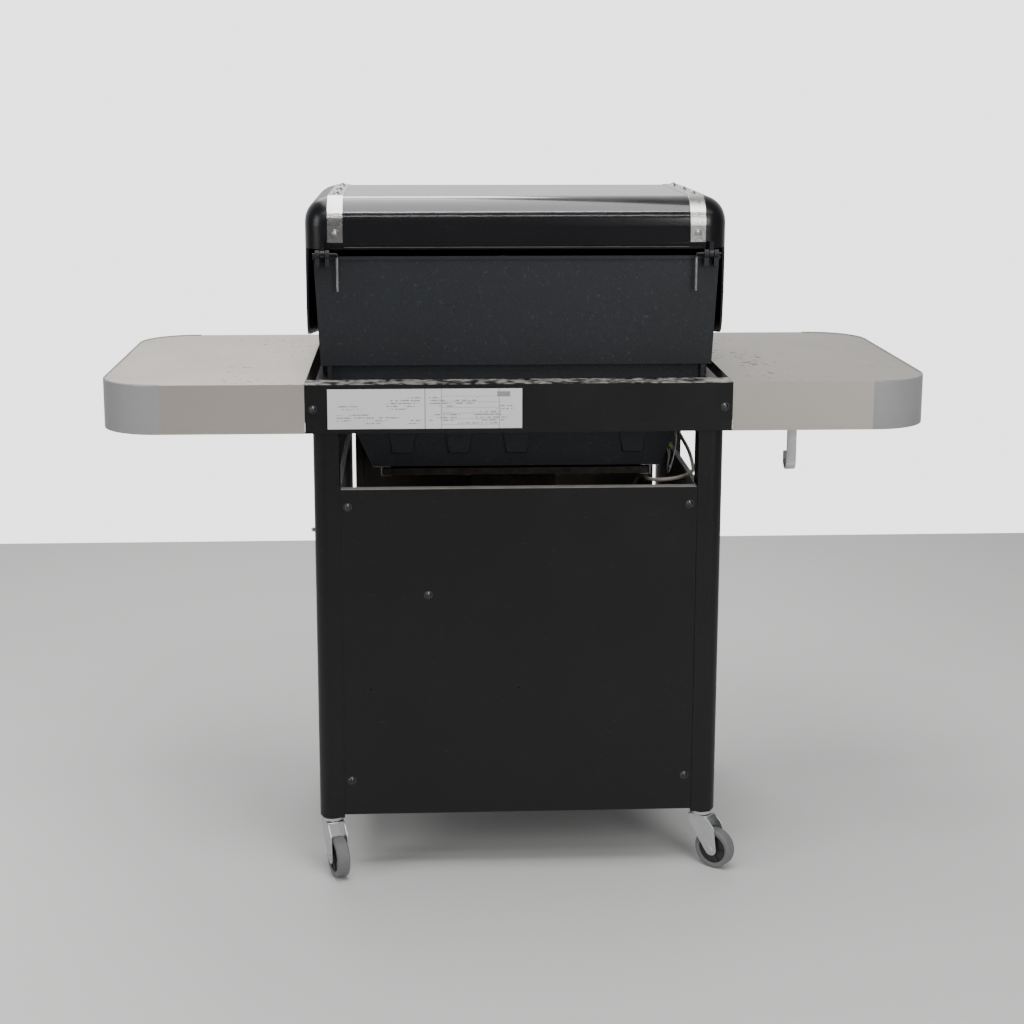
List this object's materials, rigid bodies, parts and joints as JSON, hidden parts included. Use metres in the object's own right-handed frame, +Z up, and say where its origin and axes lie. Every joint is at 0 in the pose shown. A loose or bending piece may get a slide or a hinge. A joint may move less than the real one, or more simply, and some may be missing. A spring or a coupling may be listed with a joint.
{
  "type": "gas barbecue grill",
  "caption": "Gas barbecue grill on a cabinet cart with a hinged rounded lid, cast firebox, two doors, fixed side tables with end caps and swivel casters.",
  "frame": {"origin": "on the floor at the centre of the grill's footprint", "axes": "+Z up, +Y towards the back of the grill, +X to the user's right, -Y the side with the knobs, doors and lid handle"},
  "size_m": [1.524, 0.7066, 1.276],
  "materials": {
    "black_paint": "satin black paint, scuffed",
    "stainless": "brushed stainless sheet with fine scratches",
    "grey_cap": "smooth grey paint",
    "cast_black": "textured black painted aluminium casting",
    "enamel_black": "glossy black enamel",
    "cap_black": "satin black painted aluminium casting",
    "bright_strap": "polished",
    "zinc": "bright zinc plate",
    "screw_steel": "plain bright",
    "burner_steel": "dull stainless, heat tinted",
    "cast_iron": "matte enamelled iron",
    "wire_chrome": "plated wire",
    "brass": "plain",
    "aluminium": "die cast",
    "knob_plastic": "black, with a silver pointer",
    "grey_hose": "grey-beige rubber hose",
    "white_wire": "white sleeving",
    "regulator_grey": "grey paint",
    "galvanised": "galvanised sheet",
    "label_paper": "white printed label",
    "dial_face": "bright rim with a pale dial",
    "needle_red": "red",
    "tread_grey": "grey hard tread on a black hub",
    "lever_grey": "dark grey"
  },
  "bodies": {
    "cart": {"rear_legs": "black_paint", "front_legs": "black_paint", "rear_beam": "black_paint", "frame_rails": "black_paint", "rear_panel": "black_paint", "side_panels": "galvanised", "bottom_shelf": "black_paint", "frame_screws": "screw_steel", "rear_label": "label_paper", "side_table_right": "stainless", "side_table_left": "stainless", "table_end_caps": "grey_cap", "cookbox": "cast_black", "burner_tubes": "burner_steel", "heat_deflectors": "burner_steel", "cooking_grates": "cast_iron", "warming_rack": "wire_chrome", "manifold": "aluminium", "valve_bodies": "brass", "control_panel": "stainless", "igniter_module": "knob_plastic", "gas_hose": "grey_hose", "ignition_wires": "white_wire", "regulator": "regulator_grey", "tray_guides": "galvanised", "hinge_pins": "screw_steel", "tool_hook": "zinc", "match_hook": "zinc"},
    "lid": {"lid_shell": "enamel_black", "lid_end_cap_right": "cap_black", "lid_end_cap_left": "cap_black", "lid_straps": "bright_strap", "lid_screws": "screw_steel", "lid_handle": "stainless", "thermometer": "dial_face"},
    "needle": {"thermometer_needle": "needle_red"},
    "door_right": {"door_right": "stainless", "door_handle_right": "stainless"},
    "door_left": {"door_left": "stainless", "door_handle_left": "stainless"},
    "igniter_button": {"igniter_button": "lever_grey"},
    "bottom_tray": {"bottom_tray": "galvanised"},
    "catch_pan": {"catch_pan": "galvanised"},
    "match_holder": {"match_holder": "zinc"},
    "valve_core_left": {"valve_core_left": "brass"},
    "knob_left": {"knob_left": "knob_plastic"},
    "valve_core_centre": {"valve_core_centre": "brass"},
    "knob_centre": {"knob_centre": "knob_plastic"},
    "valve_core_right": {"valve_core_right": "brass"},
    "knob_right": {"knob_right": "knob_plastic"},
    "caster_rear_left": {"caster_fork_rear_left": "zinc"},
    "wheel_rear_left": {"caster_wheel_rear_left": "tread_grey"},
    "caster_rear_right": {"caster_fork_rear_right": "zinc"},
    "wheel_rear_right": {"caster_wheel_rear_right": "tread_grey"},
    "caster_front_left": {"caster_fork_front_left": "zinc"},
    "wheel_front_left": {"caster_wheel_front_left": "tread_grey"},
    "caster_front_right": {"caster_fork_front_right": "zinc"},
    "wheel_front_right": {"caster_wheel_front_right": "tread_grey"},
    "brake_front_left": {"brake_lever_front_left": "lever_grey"},
    "brake_front_right": {"brake_lever_front_right": "lever_grey"}
  },
  "joints": [
    {"name": "lid_hinge", "type": "hinge", "parent": "cart", "child": "lid", "pos_m": [0, 0.22875, 1.168], "axis": [-1, 0, 0], "range_deg": [0, 80]},
    {"name": "needle_turn", "type": "hinge", "parent": "lid", "child": "needle", "pos_m": [0, -0.29925, 1.09], "axis": [0, 1, 0], "range_deg": [0, 270], "stiffness_Nm_per_rad": 0.002, "springref_deg": -11.46},
    {"name": "door_right_hinge", "type": "hinge", "parent": "cart", "child": "door_right", "pos_m": [0.312, -0.27925, 0.47], "axis": [0, 0, 1], "range_deg": [0, 105]},
    {"name": "door_left_hinge", "type": "hinge", "parent": "cart", "child": "door_left", "pos_m": [-0.312, -0.27925, 0.47], "axis": [0, 0, -1], "range_deg": [0, 105]},
    {"name": "igniter_press", "type": "slide", "parent": "cart", "child": "igniter_button", "axis": [0, 1, 0], "range_m": [0, 0.004], "stiffness_N_per_m": 800, "springref_m": -0.004},
    {"name": "tray_slide", "type": "slide", "parent": "cart", "child": "bottom_tray", "axis": [0, 1, 0], "range_m": [0, 0.38]},
    {"name": "catch_pan_slide", "type": "slide", "parent": "cart", "child": "catch_pan", "axis": [0, -1, 0], "range_m": [0, 0.18]},
    {"name": "match_holder_swing", "type": "hinge", "parent": "cart", "child": "match_holder", "pos_m": [0.4005, -0.2655, 0.528], "axis": [1, 0, 0], "range_deg": [-60, 60]},
    {"name": "knob_left_turn", "type": "hinge", "parent": "cart", "child": "valve_core_left", "pos_m": [-0.2, -0.28525, 0.88], "axis": [0, 1, 0], "range_deg": [0, 180]},
    {"name": "knob_left_push", "type": "slide", "parent": "valve_core_left", "child": "knob_left", "axis": [0, 1, 0], "range_m": [0, 0.003], "stiffness_N_per_m": 800, "springref_m": -0.003},
    {"name": "knob_centre_turn", "type": "hinge", "parent": "cart", "child": "valve_core_centre", "pos_m": [0, -0.28525, 0.88], "axis": [0, 1, 0], "range_deg": [0, 180]},
    {"name": "knob_centre_push", "type": "slide", "parent": "valve_core_centre", "child": "knob_centre", "axis": [0, 1, 0], "range_m": [0, 0.003], "stiffness_N_per_m": 800, "springref_m": -0.003},
    {"name": "knob_right_turn", "type": "hinge", "parent": "cart", "child": "valve_core_right", "pos_m": [0.2, -0.28525, 0.88], "axis": [0, 1, 0], "range_deg": [0, 180]},
    {"name": "knob_right_push", "type": "slide", "parent": "valve_core_right", "child": "knob_right", "axis": [0, 1, 0], "range_m": [0, 0.003], "stiffness_N_per_m": 800, "springref_m": -0.003},
    {"name": "caster_rear_left_swivel", "type": "hinge", "parent": "cart", "child": "caster_rear_left", "pos_m": [-0.35175, 0.285, 0.12], "axis": [0, 0, 1], "continuous": true},
    {"name": "wheel_rear_left_spin", "type": "hinge", "parent": "caster_rear_left", "child": "wheel_rear_left", "pos_m": [-0.37662, 0.30514, 0.038], "axis": [0.6293, 0.7771, 0], "continuous": true},
    {"name": "caster_rear_right_swivel", "type": "hinge", "parent": "cart", "child": "caster_rear_right", "pos_m": [0.35175, 0.285, 0.12], "axis": [0, 0, 1], "continuous": true},
    {"name": "wheel_rear_right_spin", "type": "hinge", "parent": "caster_rear_right", "child": "wheel_rear_right", "pos_m": [0.34081, 0.31507, 0.038], "axis": [0.9397, 0.342, 0], "continuous": true},
    {"name": "caster_front_left_swivel", "type": "hinge", "parent": "cart", "child": "caster_front_left", "pos_m": [-0.35175, -0.2655, 0.12], "axis": [0, 0, 1], "continuous": true},
    {"name": "wheel_front_left_spin", "type": "hinge", "parent": "caster_front_left", "child": "wheel_front_left", "pos_m": [-0.33823, -0.2945, 0.038], "axis": [-0.9063, -0.4226, 0], "continuous": true},
    {"name": "brake_front_left_press", "type": "hinge", "parent": "caster_front_left", "child": "brake_front_left", "pos_m": [-0.34161, -0.28725, 0.088], "axis": [0.9063, 0.4226, 0], "range_deg": [0, 25]},
    {"name": "caster_front_right_swivel", "type": "hinge", "parent": "cart", "child": "caster_front_right", "pos_m": [0.35175, -0.2655, 0.12], "axis": [0, 0, 1], "continuous": true},
    {"name": "wheel_front_right_spin", "type": "hinge", "parent": "caster_front_right", "child": "wheel_front_right", "pos_m": [0.34347, -0.29641, 0.038], "axis": [-0.9659, 0.2588, 0], "continuous": true},
    {"name": "brake_front_right_press", "type": "hinge", "parent": "caster_front_right", "child": "brake_front_right", "pos_m": [0.34554, -0.28868, 0.088], "axis": [0.9659, -0.2588, 0], "range_deg": [0, 25]}
  ]
}
